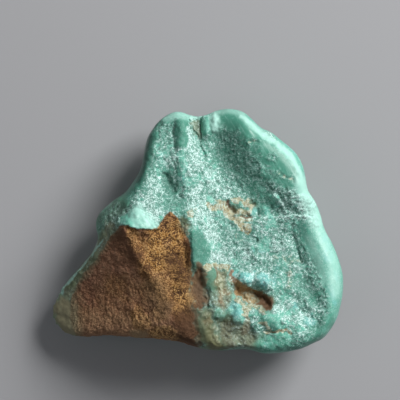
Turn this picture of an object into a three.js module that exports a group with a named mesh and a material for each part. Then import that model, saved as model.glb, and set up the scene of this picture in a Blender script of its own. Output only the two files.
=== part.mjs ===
// A raw turquoise nugget: one solid stone, lying on its worn back.
//
// Millimetres, +Z up. The broken front face looks up, the brown matrix is at its lower left, and
// the origin is on the surface it rests on, under the middle of its outline.
//
// The skin is a set of rings around a middle line. The front rings spread out from the middle of
// the front face to the waist, which is the widest line around the stone, and the back rings
// close it again underneath. Heights come from broad faces, hollows and ridges.

import * as THREE from 'three';

// The waist is the widest line around the stone. It climbs to the right and sways up and down.
const WAIST_HEIGHT = 7.4;
const WAIST_CLIMB = [0.08, 0.03];
const WAIST_SWAY = 0.9;
const WAIST_WAVES = 3;

// The rind.
const STONE_COLOUR = 0x5ab49b;
const STONE_ROUGHNESS = 0.55;

// The middle line that the rings go round.
const MIDDLE = new THREE.Vector2(1.5, -1.6);

// The waist, counter-clockwise from the right-hand bulge.
const OUTLINE = [
  // right-hand rim, up to the notch and the shoulder above it
  [25.0, -8.4], [24.2, -4.8], [22.9, -1.7], [21.6, 0.6], [21.2, 2.4], [19.8, 5.4],
  [18.9, 6.8], [18.3, 10.2], [17.0, 13.0], [14.8, 15.1], [12.4, 16.9], [11.1, 17.3],
  // right-hand lobe, saddle and left-hand lobe of the top
  [9.3, 19.2], [8.0, 20.2], [5.6, 20.9], [3.5, 20.5], [1.8, 19.7], [0.1, 19.5],
  [-1.3, 19.8], [-3.0, 20.4], [-5.9, 19.2], [-7.6, 17.3],
  // left-hand side, down over the shoulder to the tip
  [-8.4, 15.6], [-9.7, 10.1], [-10.7, 8.4], [-12.1, 6.5], [-14.7, 4.7], [-16.8, 2.6],
  [-17.2, 1.0], [-16.8, -1.5], [-17.7, -3.4], [-19.9, -6.2], [-22.2, -8.8], [-24.0, -11.6],
  [-25.0, -14.0], [-24.3, -16.3], [-22.3, -17.9],
  // underside, back to the right-hand bulge
  [-19.9, -18.3], [-16.3, -18.0], [-9.3, -18.3], [-2.8, -18.9], [0.6, -20.0], [3.7, -20.4],
  [8.8, -20.2], [11.7, -20.9], [16.8, -20.4], [20.2, -19.1], [21.9, -18.1], [24.0, -14.6],
  [24.9, -11.0],
];

// Broad faces of the front. Each is a plane with its height at one point and its climb per
// millimetre along X and Y, and the ground is the lowest of them.
const FRONT_FACES = [
  { at: [9.0, -3.0], height: 14.1, climb: [-0.03, -0.05] },    // rough turquoise field
  { at: [0.0, 12.0], height: 13.4, climb: [-0.12, -0.12] },    // fall to the top
  { at: [-6.0, -4.0], height: 13.4, climb: [-0.1, -0.1] },     // lit brown face
  { at: [-9.6, -4.4], height: 13.7, climb: [0.56, 0.3] },      // shaded brown face
  { at: [-13.4, 3.4], height: 13.0, climb: [0.75, -0.4] },     // left-hand shoulder
];
const FACE_BLEND = 0.3;

// Outer falls of the rims and the left-hand wall, which cut everything above them.
const OUTER_FALLS = [
  { at: [-8.6, 8.0], height: 15.0, climb: [1.1, -0.6] },       // left-hand wall
  { at: [23.2, -6.0], height: 14.4, climb: [-0.8, 0.14] },     // right-hand rim
  { at: [19.4, 4.4], height: 14.0, climb: [-0.7, -0.3] },      // shoulder between the rims
  { at: [16.4, 13.4], height: 13.8, climb: [-0.7, -0.5] },     // upper rim
  { at: [9.2, 18.8], height: 13.6, climb: [-0.5, -0.7] },      // right-hand lobe
];
const FALL_BLEND = 0.4;

// Long slopes of the front: the line of the middle of the slope, which has its high ground on
// the left, the width of the slope, the rise, and the reach over which the rise dies away.
const SCOOP_WALL = [[5.6, 22.0], [6.4, 16.0], [8.6, 11.6], [11.0, 8.0], [13.6, 5.6]];
const RIM_SLOPE = [[17.6, 7.0], [17.8, 2.0], [18.6, -2.0], [20.0, -6.0], [21.2, -12.0], [21.0, -17.0]];
const BRIGHT_BANK = [[5.0, -11.0], [2.6, -4.0], [1.6, 3.0], [1.4, 10.0]];
const BROWN_EDGE = [[-2.2, 2.4], [-1.5, -1.0], [-1.2, -5.6]];
const LOBE_SIDE = [[-5.0, 20.0], [-4.8, 13.0]];
const FAR = 100;
const STEPS = [
  { line: SCOOP_WALL, width: 7.4, rise: 3.2, reach: FAR },
  { line: RIM_SLOPE, width: 4.4, rise: 1.6, reach: FAR },
  { line: BRIGHT_BANK, width: 6.5, rise: 1.7, reach: FAR },
  { line: BROWN_EDGE, width: 1.6, rise: 0.8, reach: 3.5 },
  { line: LOBE_SIDE, width: 4.4, rise: 0.7, reach: 4.0 },
];

// Hollows of the front: the middle, the reach along and across, the turn of the long axis from
// X in degrees, and the depth.
const HOLLOWS = [
  { at: [3.6, 12.0], reach: [9.0, 4.0], turn: 112, depth: 0.7 },    // floor of the scoop
  { at: [-5.0, 8.6], reach: [6.4, 3.4], turn: 98, depth: 1.3 },     // valley on its left bank
  { at: [0.1, 17.6], reach: [4.4, 2.1], turn: 94, depth: 1.3 },     // cleft between the lobes
  { at: [17.0, -2.6], reach: [5.0, 1.3], turn: 100, depth: 0.5 },   // crease inside the right rim
  { at: [9.4, -11.2], reach: [3.7, 2.5], turn: -20, depth: 1.7 },   // deep pocket
  { at: [0.8, -9.6], reach: [5.0, 1.9], turn: 104, depth: 1.0 },    // seam beside the brown
  { at: [13.2, 17.0], reach: [2.6, 1.6], turn: -40, depth: 0.7 },   // chipped hollow of the rim
];

// Worn ridges of the front: the line of the crest, the half width and the rise.
const RIDGES = [
  { crest: [[-2.6, 18.6], [-2.2, 16.8], [-2.5, 14.6]], half: 1.5, rise: 0.7 },
  { crest: [[1.7, 18.8], [1.7, 16.2]], half: 1.2, rise: 0.7 },
  { crest: [[-12.6, 1.4], [-10.6, 2.0], [-8.8, 1.2]], half: 2.8, rise: 1.5 },
  { crest: [[7.4, -8.2], [10.8, -8.4]], half: 1.7, rise: 0.8 },
  { crest: [[-22.0, -18.5], [-6.0, -18.5]], half: 9.0, rise: 2.0 },
  { crest: [[8.0, -13.6], [12.0, -15.2], [17.2, -17.6]], half: 3.6, rise: 1.1 },
];

// Broad faces of the back, which is the highest of them and of the flat it rests on.
const BACK_FACES = [
  { at: [-8.5, -6.0], height: 0.0, climb: [-0.13, 0.05] },
  { at: [12.5, -4.0], height: 0.0, climb: [0.36, -0.05] },
  { at: [2.0, 7.0], height: 0.0, climb: [-0.06, 0.27] },
  { at: [3.0, -12.0], height: 0.0, climb: [0.05, -0.42] },
  { at: [-6.0, 3.0], height: 0.0, climb: [-0.4, 0.3] },
  { at: [11.0, 6.0], height: 0.0, climb: [0.36, 0.26] },
  { at: [-4.0, -11.0], height: 0.0, climb: [-0.18, -0.36] },
];

// Shallow dents of the back, outside the flat.
const DENTS = [
  { at: [1.0, 14.0], reach: [7.0, 4.5], turn: 20, depth: 1.3 },
  { at: [-14.0, -8.0], reach: [6.0, 3.4], turn: 48, depth: 0.7 },
  { at: [17.5, -12.0], reach: [6.5, 4.0], turn: 60, depth: 1.4 },
  { at: [13.5, 6.5], reach: [5.0, 3.0], turn: 125, depth: 0.9 },
  { at: [4.5, -16.0], reach: [6.0, 2.6], turn: 4, depth: 0.8 },
];

// How far in from the waist the skin turns over, wide on the worn rims of the upper right and
// tight elsewhere, and how the rings are spaced.
const RIM_ROLL = 3.0;
const TIGHT_ROLL = 1.4;
const RIM_SIDE = new THREE.Vector2(0.78, 0.62);
const FULL_RIM_FACING = 0.6;
const BACK_ROLL = 5.2;
const FRONT_RINGS = 24;
const ROLL_RINGS = 5;
const ROLL_SHARE = 0.09;
const BACK_RINGS = 12;
const SECTORS_PER_RING = 6;

function planeHeight(face, x, y) {
  return face.height + face.climb[0] * (x - face.at[0]) + face.climb[1] * (y - face.at[1]);
}

// The lowest of several heights, with the edge between two of them worn round.
function blendedLowest(heights, blend) {
  const lowest = Math.min(...heights);
  const sum = heights.reduce((total, height) => total + Math.exp((lowest - height) / blend), 0);
  return lowest - blend * Math.log(sum);
}

// 1 in the middle of a brush, falling smoothly to 0 at its edge.
function falloff(distance) {
  const inside = Math.max(0, 1 - distance * distance);
  return inside * inside;
}

function hollowDepth(hollow, x, y) {
  const turn = THREE.MathUtils.degToRad(hollow.turn);
  const dx = x - hollow.at[0];
  const dy = y - hollow.at[1];
  const along = (dx * Math.cos(turn) + dy * Math.sin(turn)) / hollow.reach[0];
  const across = (dy * Math.cos(turn) - dx * Math.sin(turn)) / hollow.reach[1];
  return hollow.depth * falloff(Math.hypot(along, across));
}

// The nearest place on a line through several corners: how far off it is, how far to the left
// of the line the point lies, and how far past an end of the line.
function nearestOnLine(corners, x, y) {
  const last = corners.length - 1;
  let nearest = { distance: Infinity, left: 0, past: 0 };
  for (let i = 1; i <= last; i += 1) {
    const from = new THREE.Vector2(...corners[i - 1]);
    const run = new THREE.Vector2(...corners[i]).sub(from);
    const gap = new THREE.Vector2(x, y).sub(from);
    const along = gap.dot(run) / run.lengthSq();
    const share = THREE.MathUtils.clamp(along, 0, 1);
    const distance = gap.clone().addScaledVector(run, -share).length();
    if (distance < nearest.distance) {
      const before = i === 1 ? Math.max(0, -along) : 0;
      const after = i === last ? Math.max(0, along - 1) : 0;
      nearest = { distance, left: run.cross(gap) / run.length(), past: (before + after) * run.length() };
    }
  }
  return nearest;
}

function ridgeRise(ridge, x, y) {
  return ridge.rise * falloff(nearestOnLine(ridge.crest, x, y).distance / ridge.half);
}

// A step fades out past the ends of its line, and its high ground dies away over its reach.
function stepRise(step, x, y) {
  const nearest = nearestOnLine(step.line, x, y);
  const climbed = THREE.MathUtils.smoothstep(nearest.left, -step.width / 2, step.width / 2);
  const beyond = Math.max(0, nearest.left - step.width / 2) / step.reach;
  return step.rise * climbed * falloff(beyond) * falloff(nearest.past / step.width);
}

function frontHeight(x, y) {
  const faces = FRONT_FACES.map((face) => planeHeight(face, x, y));
  const steps = STEPS.reduce((total, step) => total + stepRise(step, x, y), 0);
  const hollows = HOLLOWS.reduce((total, hollow) => total + hollowDepth(hollow, x, y), 0);
  const ridges = RIDGES.reduce((total, ridge) => total + ridgeRise(ridge, x, y), 0);
  const ground = blendedLowest(faces, FACE_BLEND) + steps - hollows + ridges;
  const falls = OUTER_FALLS.map((face) => planeHeight(face, x, y));
  return blendedLowest([ground, ...falls], FALL_BLEND);
}

function backHeight(x, y) {
  const dents = DENTS.reduce((total, dent) => total + hollowDepth(dent, x, y), 0);
  return Math.max(0, ...BACK_FACES.map((face) => planeHeight(face, x, y))) + dents;
}

function waistHeight(x, y) {
  const sway = WAIST_SWAY * Math.sin(WAIST_WAVES * Math.atan2(y - MIDDLE.y, x - MIDDLE.x));
  return WAIST_HEIGHT + WAIST_CLIMB[0] * x + WAIST_CLIMB[1] * y + sway;
}

// How much of the way from the waist to a face the skin has gone, at a distance in from the waist.
function rolled(distance, roll) {
  const left = 1 - Math.min(1, distance / roll);
  return Math.sqrt(1 - left * left);
}

const waist = new THREE.CatmullRomCurve3(
  OUTLINE.map(([x, y]) => new THREE.Vector3(x, y, 0)), true, 'centripetal');

function frontRoll(edge) {
  const facing = new THREE.Vector2(edge.x, edge.y).sub(MIDDLE).normalize().dot(RIM_SIDE);
  return THREE.MathUtils.lerp(TIGHT_ROLL, RIM_ROLL, THREE.MathUtils.smoothstep(facing, 0, FULL_RIM_FACING));
}

function backRoll() {
  return BACK_ROLL;
}

// One ring of the skin, at a share of the way from the middle line to the waist.
function ring(share, sectors, heightOf, rollOf) {
  const points = [];
  for (let i = 0; i < sectors; i += 1) {
    const edge = waist.getPointAt(i / sectors);
    const x = THREE.MathUtils.lerp(MIDDLE.x, edge.x, share);
    const y = THREE.MathUtils.lerp(MIDDLE.y, edge.y, share);
    const reach = Math.hypot(edge.x - MIDDLE.x, edge.y - MIDDLE.y);
    const level = waistHeight(edge.x, edge.y);
    const z = THREE.MathUtils.lerp(level, heightOf(x, y), rolled((1 - share) * reach, rollOf(edge)));
    points.push(new THREE.Vector3(x, y, z));
  }
  return points;
}

// The shares of the rings from just off the middle line to just inside the waist.
function ringShares(count) {
  const shares = [];
  for (let i = 1; i <= count; i += 1) {
    shares.push((1 - ROLL_SHARE) * i / count);
  }
  for (let i = 1; i < ROLL_RINGS; i += 1) {
    shares.push(1 - ROLL_SHARE + ROLL_SHARE * Math.sin(Math.PI / 2 * i / ROLL_RINGS));
  }
  return shares;
}

// All rings, from the middle of the front over the waist to the middle of the back.
function allRings() {
  const widest = SECTORS_PER_RING * FRONT_RINGS;
  const rings = [ring(0, 1, frontHeight, frontRoll)];
  ringShares(FRONT_RINGS).forEach((share, i) => {
    const sectors = Math.min(widest, SECTORS_PER_RING * (i + 1));
    rings.push(ring(share, sectors, frontHeight, frontRoll));
  });
  rings.push(ring(1, widest, frontHeight, frontRoll));
  const back = ringShares(BACK_RINGS).map((share, i) => {
    const sectors = Math.min(widest, 2 * SECTORS_PER_RING * (i + 1));
    return ring(share, sectors, backHeight, backRoll);
  });
  rings.push(...back.reverse());
  rings.push(ring(0, 1, backHeight, backRoll));
  return rings;
}

// Triangles between two neighbouring rings, with any number of points in each.
function stitch(inner, outer, triangles) {
  let i = 0;
  let j = 0;
  while (i < inner.count || j < outer.count) {
    const innerNext = inner.count > 1 ? (i + 1) / inner.count : Infinity;
    const outerNext = outer.count > 1 ? (j + 1) / outer.count : Infinity;
    const a = inner.first + i % inner.count;
    const b = outer.first + j % outer.count;
    if (innerNext < outerNext) {
      triangles.push(a, b, inner.first + (i + 1) % inner.count);
      i += 1;
    } else {
      triangles.push(a, b, outer.first + (j + 1) % outer.count);
      j += 1;
    }
    if (inner.count === 1 && j === outer.count) break;
    if (outer.count === 1 && i === inner.count) break;
  }
}

function stoneGeometry() {
  const points = [];
  const spans = allRings().map((ringPoints) => {
    const span = { first: points.length, count: ringPoints.length };
    points.push(...ringPoints);
    return span;
  });
  const triangles = [];
  for (let i = 1; i < spans.length; i += 1) {
    stitch(spans[i - 1], spans[i], triangles);
  }
  const geometry = new THREE.BufferGeometry().setFromPoints(points);
  geometry.setIndex(triangles);
  geometry.computeBoundingBox();
  const middle = geometry.boundingBox.getCenter(new THREE.Vector3());
  geometry.translate(-middle.x, -middle.y, 0);
  geometry.computeVertexNormals();
  return geometry;
}

const stone = new THREE.MeshStandardMaterial({
  color: STONE_COLOUR,
  roughness: STONE_ROUGHNESS,
  metalness: 0,
});

const nugget = new THREE.Mesh(stoneGeometry(), stone);
nugget.name = 'nugget';

const part = new THREE.Group();
part.add(nugget);

export default part;
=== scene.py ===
"""A raw turquoise nugget lying on its back on a pale floor, its broken face up."""

import math
from collections import namedtuple

import bpy
import numpy as np
from bpy.props import FloatProperty, FloatVectorProperty, PointerProperty
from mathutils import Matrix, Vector, noise


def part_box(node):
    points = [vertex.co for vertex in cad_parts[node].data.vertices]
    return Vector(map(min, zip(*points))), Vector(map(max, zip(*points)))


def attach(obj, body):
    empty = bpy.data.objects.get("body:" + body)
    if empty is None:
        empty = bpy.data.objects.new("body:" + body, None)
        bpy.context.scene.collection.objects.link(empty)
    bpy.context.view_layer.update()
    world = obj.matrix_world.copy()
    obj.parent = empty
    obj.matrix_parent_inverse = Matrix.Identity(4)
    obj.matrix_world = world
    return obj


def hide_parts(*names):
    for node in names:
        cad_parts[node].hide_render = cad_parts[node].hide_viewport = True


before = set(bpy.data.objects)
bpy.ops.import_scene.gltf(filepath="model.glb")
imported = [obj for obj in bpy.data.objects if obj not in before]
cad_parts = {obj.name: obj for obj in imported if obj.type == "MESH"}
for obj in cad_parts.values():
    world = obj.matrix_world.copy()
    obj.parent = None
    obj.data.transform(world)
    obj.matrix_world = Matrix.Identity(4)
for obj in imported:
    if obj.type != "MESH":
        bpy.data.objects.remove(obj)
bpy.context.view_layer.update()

bl_info = {
    "name": "Raw Turquoise Nugget",
    "version": (1, 0, 0),
    "blender": (4, 5, 0),
    "location": "3D View > Sidebar > Nugget",
    "description": "Models a raw turquoise nugget with brown matrix and its studio",
    "category": "Add Mesh",
}

NODE = "nugget"
MM = 0.001

WELD = 0.00001                  # points of the solid closer than this, in metres, are joined
SMOOTHING = 0.5                 # how far each smoothing step goes
SMOOTH_STEPS = 4
FRONT_LEAN = 0.25               # a face is on the front when its normal's Z is over this
FRONT_CUTS = 2                  # cuts across each front face
FRONT_ROUNDING = 0.5            # how far the cut faces bulge
KEY_DISTANCE = 0.6              # in metres, from the origin
FILL_PLACE = (-0.5, -0.1, 0.5)
FILL_SIZE = 0.5
SKY_COLOUR = (0.92, 0.95, 1.0, 1.0)
VIEW_SHIFT = (0.0006, 0.0052)   # the view's middle, from the middle of the stone's box
WAIST = 0.45                    # share of the stone's height where the view is View Width wide
CLIP_START = 0.01
CLIP_END = 10.0

# ---------------------------------------------------------------------------------------------
# Where things are on the stone, in millimetres from above: +X right, +Y towards the two lobes.
#
# A stroke is the corners of its path, half of its width, and its strength. A scarp is the
# corners of its path, how far its step reaches, and how high the step is.

Stroke = namedtuple("Stroke", "path half strength")
Scarp = namedtuple("Scarp", "path reach rise")

# The outline of the brown matrix.
BROWN = [
    (-4.4, 3.1), (-5.2, 2.6), (-6.6, 0.5), (-8.5, 0.4), (-10.5, 0.6), (-12.7, 0.95), (-14.3, -1.0),
    (-16.8, -4.4), (-19.7, -8.0), (-21.2, -11.0), (-21.6, -15.2), (-19.6, -20.5), (0.0, -22.5),
    (0.3, -19.6), (-0.7, -18.2), (0.1, -16.9), (-0.8, -15.6), (-0.2, -14.3), (-1.1, -12.8),
    (-0.7, -11.4), (-1.3, -9.4), (-0.9, -7.0), (-1.0, -2.0), (-2.0, 0.2), (-3.2, 2.0),
]
# The smooth, bright wedge over its upper left-hand corner.
WEDGE = [
    (-12.8, 1.3), (-12.2, 2.2), (-11.2, 3.4), (-10.3, 4.0), (-9.5, 3.8), (-8.6, 2.5), (-7.6, 1.2),
    (-6.6, 0.4), (-8.0, 0.35), (-10.0, 0.5), (-11.6, 0.75),
]

# Broken edges: the ground to the right of the path stands over that to its left, and the
# difference dies away over the reach.
SCARPS = [
    Scarp([(-6.6, 0.4), (-8.4, 0.4), (-10.4, 0.6), (-12.8, 1.0)], 2.2, 0.5),     # bright wedge
    Scarp([(-0.6, -5.2), (-0.8, -3.0), (-0.8, 0.7)], 3.0, 0.25),                 # smooth patch
    Scarp([(9.7, 1.7), (11.7, 2.3), (14.8, 2.7), (18.4, 2.4)], 4.5, 0.5),        # ledge
    Scarp([(2.0, -12.6), (2.2, -10.4), (0.7, -7.4), (0.9, -6.4)], 2.6, 0.35),    # over the seam
    Scarp([(12.4, -9.9), (9.8, -9.9), (7.0, -9.4)], 2.2, 0.4),                   # over the pocket
]

# Worn crests and knobs, and creases and pits with a negative strength, in millimetres.
RELIEF = [
    # left-hand lobe: finger ridge, the crease on its left, lumps
    Stroke([(-2.8, 18.6), (-2.6, 16.8), (-2.7, 14.7)], 1.1, 0.25),
    Stroke([(-3.8, 16.9), (-3.8, 15.0), (-3.5, 13.4)], 0.55, -0.35),
    Stroke([(-7.2, 13.4), (-6.4, 12.8)], 1.0, 0.3),
    Stroke([(-10.4, 2.0), (-8.8, 1.3)], 1.5, -0.35),
    # cleft: its lip, its cracks, the small lobe and the bright facet on its right
    Stroke([(-1.1, 19.3), (1.1, 19.3)], 0.5, 0.4),
    Stroke([(-1.15, 18.8), (-1.0, 17.3), (-0.2, 16.3), (0.6, 15.4), (0.9, 14.0), (1.6, 12.6)],
           0.35, -0.5),
    Stroke([(0.85, 18.9), (0.8, 17.0), (0.75, 15.6)], 0.4, -0.6),
    Stroke([(1.6, 19.2), (1.6, 16.5)], 0.85, 0.25),
    Stroke([(3.0, 19.4), (3.3, 17.4)], 1.1, 0.55),
    # upper rim: second crest, chipped hollow, pit and crack
    Stroke([(11.6, 16.9), (13.6, 16.1), (15.2, 14.6)], 0.9, 0.4),
    Stroke([(12.0, 16.0), (13.0, 15.2)], 1.0, -0.25),
    Stroke([(9.3, 14.9), (10.1, 14.9)], 0.6, -0.25),
    Stroke([(13.8, 10.2), (14.8, 9.2), (16.3, 8.6)], 0.35, -0.15),
    Stroke([(12.2, 12.5), (13.4, 11.8)], 0.5, -0.15),
    Stroke([(10.7, 10.8), (10.9, 9.4)], 0.8, 0.25),
    # left-hand bank of the scoop and the deep crevice beyond it
    Stroke([(-2.5, 11.0), (-2.4, 9.6), (-2.0, 6.6)], 1.4, 0.25),
    Stroke([(-4.9, 9.4), (-4.6, 8.0), (-3.9, 6.6)], 0.8, -0.5),
    Stroke([(-6.2, 9.2), (-5.6, 9.6)], 0.6, -0.3),
    Stroke([(2.2, 6.0), (2.9, 5.3)], 0.5, -0.4),
    Stroke([(1.0, 10.2), (2.2, 8.6)], 1.0, 0.3),
    # chunks over the ledge
    Stroke([(11.3, 3.7)], 1.3, 0.4),
    Stroke([(12.5, 3.0), (12.6, 4.6)], 0.5, -0.4),
    Stroke([(12.5, 5.8), (13.3, 5.5)], 0.9, 0.35),
    Stroke([(13.4, 6.0), (14.4, 4.2), (15.3, 3.2)], 0.5, 0.3),
    Stroke([(15.9, 4.8), (15.9, 6.2)], 1.0, 0.3),
    Stroke([(10.4, 3.6), (10.5, 2.4)], 0.4, -0.3),
    # crusted pits of the middle
    Stroke([(5.3, 4.6), (6.2, 3.2)], 0.8, -0.7),
    Stroke([(7.8, 2.5), (8.8, 2.5)], 0.5, -0.4),
    Stroke([(9.6, 4.6)], 0.7, -0.4),
    Stroke([(7.0, 4.3)], 0.9, 0.35),
    Stroke([(3.4, 2.9)], 1.2, 0.3),
    Stroke([(8.2, -3.6)], 0.8, -0.3),
    Stroke([(6.2, -4.2)], 0.9, -0.3),
    Stroke([(10.0, -4.4), (10.6, -5.0)], 0.9, 0.25),
    Stroke([(12.9, -0.8), (13.6, -3.2)], 0.7, 0.2),
    Stroke([(5.2, 1.2), (6.0, 0.6)], 0.5, -0.3),
    # right-hand rim: crease, ledge and the band below it
    Stroke([(16.5, -1.0), (17.0, -2.4), (17.5, -4.2), (17.5, -5.6)], 0.5, -0.3),
    Stroke([(17.6, -7.6), (20.2, -7.8)], 0.5, 0.2),
    Stroke([(15.4, -9.7), (17.4, -10.6), (19.8, -13.4)], 1.4, 0.3),
    Stroke([(12.9, -13.3), (14.5, -14.6), (16.5, -15.2), (17.6, -15.9), (18.1, -17.9)], 1.4, 0.3),
    Stroke([(19.2, -15.6)], 1.4, 0.35),
    Stroke([(16.8, -12.9), (18.4, -14.0)], 0.8, -0.2),
    # green knobs beside the seam
    Stroke([(1.9, -7.2), (3.0, -8.8)], 1.4, 0.5),
    Stroke([(4.9, -7.1)], 0.9, 0.3),
    Stroke([(0.9, -6.9), (1.7, -6.8)], 0.4, -0.3),
    Stroke([(5.4, -10.9)], 1.0, 0.35),
    Stroke([(3.2, -12.4)], 0.9, 0.25),
    # blue knobs and the pocket below them
    Stroke([(8.1, -7.9), (8.2, -8.6)], 1.6, 0.9),
    Stroke([(10.4, -7.9), (10.8, -8.4)], 1.3, 0.7),
    Stroke([(11.7, -8.6), (12.2, -9.2)], 1.1, 0.6),
    Stroke([(7.4, -10.3), (9.6, -11.0), (11.4, -11.9)], 1.4, -0.45),
    Stroke([(6.9, -9.4), (7.3, -10.6), (8.2, -11.6)], 0.55, -0.5),
    Stroke([(10.0, -10.6), (11.4, -11.3), (11.9, -12.5)], 0.7, -0.6),
    Stroke([(8.7, -10.8), (9.5, -11.1)], 0.75, 0.5),
    Stroke([(10.3, -11.9)], 0.5, 0.35),
    Stroke([(6.9, -11.8), (7.8, -12.6), (9.6, -12.9), (11.2, -13.2)], 0.8, 0.35),
    # knobs, veins and lumps of the underside
    Stroke([(3.4, -14.0), (5.2, -13.5)], 1.0, 0.4),
    Stroke([(6.8, -13.0), (7.0, -14.6)], 1.7, 0.55),
    Stroke([(11.6, -14.3), (13.2, -15.6)], 1.5, 0.5),
    Stroke([(10.1, -16.2), (10.2, -17.4)], 1.1, 0.3),
    Stroke([(11.2, -19.4), (14.4, -18.8)], 1.8, 0.5),
    Stroke([(0.7, -14.8), (1.4, -17.0), (3.0, -19.0)], 1.3, 0.4),
    Stroke([(0.5, -13.5), (1.6, -14.3), (2.2, -15.8), (3.2, -17.5), (3.8, -18.7)], 0.6, 0.25),
    Stroke([(4.4, -15.2), (4.9, -17.6)], 0.8, -0.2),
    Stroke([(6.2, -17.4), (7.4, -18.4)], 1.3, -0.3),
    Stroke([(11.4, -16.9), (15.8, -17.3)], 0.45, -0.25),
    # brown: the ridge between its lit and shaded faces, pits and streaks
    Stroke([(-12.2, 0.2), (-10.9, -1.6), (-10.1, -3.2), (-9.3, -4.9), (-8.5, -6.7), (-6.8, -8.5)],
           1.4, 0.45),
    Stroke([(-9.2, -1.4), (-8.9, -3.2)], 0.9, -0.3),
    Stroke([(-2.0, -2.6), (-1.7, -5.6)], 1.0, -0.4),
    Stroke([(-2.3, -7.4), (-2.0, -10.6), (-0.9, -12.9)], 1.4, 0.4),
    Stroke([(-4.4, -1.2), (-3.0, -2.3)], 0.6, -0.25),
    Stroke([(-3.4, -4.0), (-2.8, -4.8)], 0.6, -0.25),
    Stroke([(-4.9, -7.6), (-4.2, -8.2)], 0.6, -0.2),
    Stroke([(-12.5, -11.9), (-11.0, -13.2)], 0.8, 0.15),
    Stroke([(-10.5, -13.0), (-9.9, -14.6), (-8.2, -16.5)], 0.8, 0.2),
    Stroke([(-8.3, -13.8)], 0.9, -0.25),
    Stroke([(-10.2, -16.2)], 0.8, -0.4),
    Stroke([(-14.2, -3.8), (-13.2, -4.2)], 0.9, 0.25),
    Stroke([(-12.8, -6.9), (-11.4, -7.0)], 0.9, 0.25),
]

# Surfaces that were rubbed smooth, or that broke smooth.
UPPER_RIND = [
    (4.2, 22.0), (4.0, 19.0), (4.6, 17.6), (6.4, 16.9), (7.6, 15.3), (9.2, 13.7), (10.7, 12.2),
    (11.5, 10.4), (12.2, 8.8), (14.0, 7.9), (16.6, 7.2), (17.6, 6.4), (19.4, 5.8), (21.0, 22.0),
]
LOWER_RIND = [
    (17.1, 1.7), (17.4, -0.8), (18.5, -3.2), (20.1, -6.2), (21.3, -9.4), (22.3, -12.8),
    (21.8, -15.4), (20.4, -17.2), (18.4, -18.8), (17.0, -22.0), (27.0, -22.0), (27.0, 4.5),
    (20.6, 4.6), (19.0, 1.6),
]
SMOOTH = [
    Stroke([(-5.0, 19.6), (-2.2, 19.4)], 1.3, 1.0),
    Stroke([(-2.6, 18.6), (-2.6, 15.0)], 0.95, 1.0),
    Stroke([(1.6, 19.0), (1.6, 16.8)], 0.8, 1.0),
    Stroke([(3.1, 19.6), (3.3, 17.2)], 1.1, 1.0),
    Stroke([(-2.6, 12.6), (-2.5, 8.4), (-0.4, 8.2)], 0.9, 0.6),
    Stroke([(-5.4, 9.8), (-6.2, 12.0)], 0.9, 0.4),
    Stroke([(-0.4, 0.0), (0.2, -1.6)], 0.9, 0.9),
    Stroke([(0.4, -2.4), (0.2, -4.4)], 1.4, 0.9),
    Stroke([(11.3, 3.7)], 1.2, 0.7),
    Stroke([(12.6, 5.7)], 0.9, 0.8),
    Stroke([(9.6, 7.2), (11.0, 6.2)], 1.0, 0.6),
    Stroke([(2.0, -7.4), (3.0, -8.8)], 1.1, 0.7),
    Stroke([(8.3, -8.1)], 1.3, 0.75),
    Stroke([(10.8, -8.2), (11.4, -8.4)], 1.2, 0.75),
    Stroke([(14.2, -5.4), (13.8, -9.6)], 1.1, 0.5),
    Stroke([(6.8, -13.0), (7.0, -14.6)], 1.3, 1.0),
    Stroke([(3.4, -14.0), (5.2, -13.6)], 0.7, 0.7),
    Stroke([(11.6, -14.3), (13.2, -15.6)], 1.2, 1.0),
    Stroke([(11.2, -19.6), (14.4, -18.8)], 1.7, 1.0),
    Stroke([(-7.6, 17.0), (-8.8, 12.0), (-9.8, 8.6), (-12.4, 5.4)], 1.1, 1.0),
    Stroke([(0.7, -14.8), (1.4, -17.0), (3.0, -19.0)], 1.1, 1.0),
    Stroke([(-22.8, -13.0), (-22.2, -15.8)], 2.4, 1.0),
    Stroke([(19.2, -15.6)], 1.2, 0.5),
]

# Chips out of the smooth rims.
CHIPS = [
    Stroke([(9.0, 15.1), (10.2, 14.6)], 0.7, 1.0),
    Stroke([(10.8, 12.8)], 0.6, 0.9),
    Stroke([(12.1, 12.5), (13.3, 11.7)], 0.6, 1.0),
    Stroke([(11.8, 10.4), (13.0, 9.4)], 0.7, 0.8),
    Stroke([(13.8, 10.3), (14.8, 9.1), (16.3, 8.6)], 0.4, 0.9),
    Stroke([(6.6, 16.8), (7.4, 16.2)], 0.6, 0.7),
    Stroke([(11.8, 16.6), (13.2, 15.5)], 0.6, 0.7),
    Stroke([(17.6, -7.7), (20.6, -7.8)], 0.3, 0.8),
    Stroke([(20.4, -11.6), (21.0, -14.0)], 0.5, 0.7),
    Stroke([(18.6, 3.2), (19.8, 1.4)], 0.8, 0.7),
]

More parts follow.
